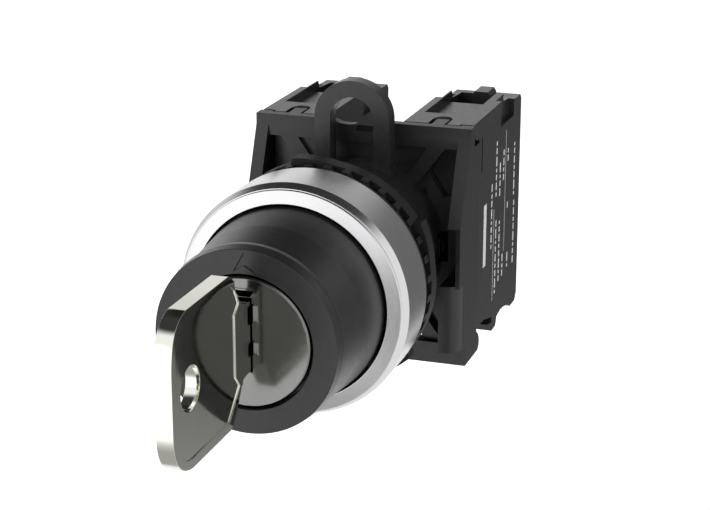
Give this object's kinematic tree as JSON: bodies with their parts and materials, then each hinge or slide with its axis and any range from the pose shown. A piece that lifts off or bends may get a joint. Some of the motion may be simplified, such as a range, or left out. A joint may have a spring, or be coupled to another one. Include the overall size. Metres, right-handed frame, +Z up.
{
  "type": "selector key switch",
  "caption": "Key-operated selector switch for a round panel hole: metal bezel, turning knob with lock and key, ring nut, mounting frame with locking slide, and rear contact blocks.",
  "frame": {"origin": "centre of the panel hole, in the plane of the bezel's rear rim", "axes": "+Y from the key back to the contact blocks along the switch's axis, +Z up, +X to the right as the operator sees it"},
  "size_m": [0.0308, 0.0944, 0.0395],
  "materials": {
    "satin_black": "satin moulded thermoplastic",
    "matt_black": "fine matt moulded thermoplastic",
    "rubber": "smooth",
    "white_plastic": "natural acetal",
    "aluminium": "satin turned",
    "nickel": "polished nickel plate",
    "brass": "plain",
    "copper": "silver tipped",
    "steel": "zinc plated"
  },
  "bodies": {
    "switch_body": {"lock_sleeve": "brass", "bezel_ring": "aluminium", "panel_gasket": "rubber", "operator_barrel": "matt_black", "ring_nut": "matt_black", "detent_spring": "steel", "rod_guide": "matt_black", "mounting_frame": "matt_black", "left_block_housing": "satin_black", "left_block_cover": "satin_black", "left_block_return_spring": "steel", "left_block_upper_contact": "brass", "left_block_upper_clamp": "steel", "left_block_upper_screw": "steel", "left_block_lower_contact": "brass", "left_block_lower_clamp": "steel", "left_block_lower_screw": "steel", "right_block_housing": "satin_black", "right_block_cover": "satin_black", "right_block_return_spring": "steel", "right_block_upper_contact": "brass", "right_block_upper_clamp": "steel", "right_block_upper_screw": "steel", "right_block_lower_contact": "brass", "right_block_lower_clamp": "steel", "right_block_lower_screw": "steel"},
    "rotor": {"knob": "satin_black", "knob_seal": "rubber", "lock_plug": "nickel", "drive_cam": "white_plastic", "cam_screw": "steel"},
    "key": {"key": "nickel"},
    "wafers": {"lock_wafer_1": "brass", "lock_wafer_2": "brass", "lock_wafer_3": "brass", "lock_wafer_4": "brass", "lock_wafer_5": "brass"},
    "locking_slide": {"locking_slide": "satin_black"},
    "push_rod_left": {"push_rod_left": "matt_black"},
    "push_rod_right": {"push_rod_right": "matt_black"},
    "left_plunger": {"left_block_plunger": "matt_black", "left_block_bridge": "copper"},
    "right_plunger": {"right_block_plunger": "matt_black", "right_block_bridge": "copper"}
  },
  "joints": [
    {"name": "key_turn", "type": "hinge", "parent": "switch_body", "child": "rotor", "pos_m": [0, 0, 0], "axis": [0, 1, 0], "range_deg": [0, 90]},
    {"name": "key_withdraw", "type": "slide", "parent": "rotor", "child": "key", "axis": [0, -1, 0], "range_m": [0, 0.027]},
    {"name": "wafer_release", "type": "slide", "parent": "rotor", "child": "wafers", "axis": [0, 0, 1], "range_m": [0, 0.00091]},
    {"name": "lock_slide", "type": "slide", "parent": "switch_body", "child": "locking_slide", "axis": [0, 0, 1], "range_m": [0, 0.004]},
    {"name": "push_rod_left_slide", "type": "slide", "parent": "switch_body", "child": "push_rod_left", "axis": [0, 1, 0], "range_m": [0, 0.00321]},
    {"name": "left_plunger_slide", "type": "slide", "parent": "switch_body", "child": "left_plunger", "axis": [0, 1, 0], "range_m": [0, 0.00321], "deforming": ["left_block_return_spring"]},
    {"name": "push_rod_right_slide", "type": "slide", "parent": "switch_body", "child": "push_rod_right", "axis": [0, 1, 0], "range_m": [0, 0.00321]},
    {"name": "right_plunger_slide", "type": "slide", "parent": "switch_body", "child": "right_plunger", "axis": [0, 1, 0], "range_m": [0, 0.00321], "deforming": ["right_block_return_spring"]}
  ],
  "couplings": [
    {"joint": "wafer_release", "follows": "key_withdraw", "ratio": 0.033333},
    {"joint": "push_rod_left_slide", "follows": "key_turn", "m_per_rad": 0.0020372},
    {"joint": "left_plunger_slide", "follows": "key_turn", "m_per_rad": 0.0020372},
    {"joint": "push_rod_right_slide", "follows": "key_turn", "m_per_rad": 0.0020372},
    {"joint": "right_plunger_slide", "follows": "key_turn", "m_per_rad": 0.0020372}
  ]
}
